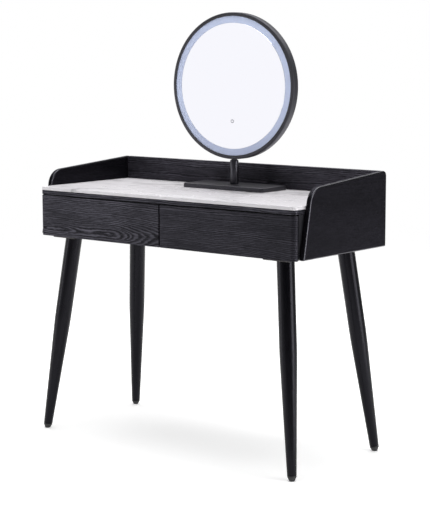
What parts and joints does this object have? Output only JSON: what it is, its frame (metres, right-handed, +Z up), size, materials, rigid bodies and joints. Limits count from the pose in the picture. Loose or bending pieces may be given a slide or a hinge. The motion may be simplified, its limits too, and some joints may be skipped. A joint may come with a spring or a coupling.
{
  "type": "vanity table with mirror",
  "caption": "Dressing table with a stone top between raised side wings, flush drawers, splayed tapered legs and a round lighted mirror that swivels and tilts on a post.",
  "frame": {"origin": "on the floor, under the centre of the bounding box", "axes": "+Z up, -Y towards the sitter, +X to the sitter's right"},
  "size_m": [1, 0.4338, 1.2795],
  "materials": {
    "white_stone": "honed white stone with soft grey veins",
    "black_veneer": "black-stained open-grain ash veneer, matt",
    "leg_lacquer": "satin black lacquer",
    "block_wood": "black-stained plywood",
    "zinc_steel": "zinc-plated steel",
    "black_nylon": "moulded black nylon",
    "drawer_lining": "grey laminated board",
    "satin_black_metal": "satin black powder coat",
    "black_plastic": "moulded black plastic, fine texture",
    "mirror_silver": "silvered glass",
    "frosted_acrylic": "frosted light band, unlit",
    "circuit_board": "white circuit board"
  },
  "bodies": {
    "table": {"stone_top": "white_stone", "top_board": "black_veneer", "case_bottom": "black_veneer", "case_side_left": "black_veneer", "case_side_right": "black_veneer", "centre_divider": "black_veneer", "back_panel": "black_veneer", "wing_left": "black_veneer", "wing_right": "black_veneer", "leg_front_left": "leg_lacquer", "leg_block_front_left": "block_wood", "leg_bolt_front_left": "zinc_steel", "foot_glide_front_left": "black_nylon", "leg_front_right": "leg_lacquer", "leg_block_front_right": "block_wood", "leg_bolt_front_right": "zinc_steel", "foot_glide_front_right": "black_nylon", "leg_rear_left": "leg_lacquer", "leg_block_rear_left": "block_wood", "leg_bolt_rear_left": "zinc_steel", "foot_glide_rear_left": "black_nylon", "leg_rear_right": "leg_lacquer", "leg_block_rear_right": "block_wood", "leg_bolt_rear_right": "zinc_steel", "foot_glide_rear_right": "black_nylon", "runner_cabinet_left_left": "zinc_steel", "runner_cabinet_left_right": "zinc_steel", "runner_cabinet_right_left": "zinc_steel", "runner_cabinet_right_right": "zinc_steel", "mirror_base": "satin_black_metal", "post": "satin_black_metal", "post_nut": "zinc_steel", "power_inlet": "black_plastic"},
    "drawer_left": {"drawer_front_left": "black_veneer", "drawer_side_left_left": "drawer_lining", "drawer_side_left_right": "drawer_lining", "drawer_back_left": "drawer_lining", "drawer_bottom_left": "drawer_lining", "runner_drawer_left_left": "zinc_steel", "runner_drawer_left_right": "zinc_steel"},
    "runner_middles_left": {"runner_middle_left_left": "zinc_steel", "runner_middle_left_right": "zinc_steel"},
    "drawer_right": {"drawer_front_right": "black_veneer", "drawer_side_right_left": "drawer_lining", "drawer_side_right_right": "drawer_lining", "drawer_back_right": "drawer_lining", "drawer_bottom_right": "drawer_lining", "runner_drawer_right_left": "zinc_steel", "runner_drawer_right_right": "zinc_steel"},
    "runner_middles_right": {"runner_middle_right_left": "zinc_steel", "runner_middle_right_right": "zinc_steel"},
    "mirror_swivel": {"swivel_knuckle": "satin_black_metal", "tilt_pin": "zinc_steel"},
    "mirror_head": {"hinge_bracket": "zinc_steel", "mirror_rim": "satin_black_metal", "mirror_glass": "mirror_silver", "light_diffuser": "frosted_acrylic", "led_ring": "circuit_board", "back_cover": "black_plastic", "touch_sensor": "circuit_board"}
  },
  "joints": [
    {"name": "drawer_left_slide", "type": "slide", "parent": "table", "child": "drawer_left", "axis": [0, -1, 0], "range_m": [0, 0.3]},
    {"name": "runner_middles_left_slide", "type": "slide", "parent": "table", "child": "runner_middles_left", "axis": [0, -1, 0], "range_m": [0, 0.15]},
    {"name": "drawer_right_slide", "type": "slide", "parent": "table", "child": "drawer_right", "axis": [0, -1, 0], "range_m": [0, 0.3]},
    {"name": "runner_middles_right_slide", "type": "slide", "parent": "table", "child": "runner_middles_right", "axis": [0, -1, 0], "range_m": [0, 0.15]},
    {"name": "mirror_swivel", "type": "hinge", "parent": "table", "child": "mirror_swivel", "pos_m": [0.0228, 0.108, 0.83], "axis": [0, 0, 1], "range_deg": [-90, 90]},
    {"name": "mirror_tilt", "type": "hinge", "parent": "mirror_swivel", "child": "mirror_head", "pos_m": [0.0228, 0.108, 0.8569], "axis": [-0.9976, -0.0698, 0], "range_deg": [-12, 12]}
  ],
  "couplings": [
    {"joint": "runner_middles_left_slide", "follows": "drawer_left_slide", "ratio": 0.5},
    {"joint": "runner_middles_right_slide", "follows": "drawer_right_slide", "ratio": 0.5}
  ]
}
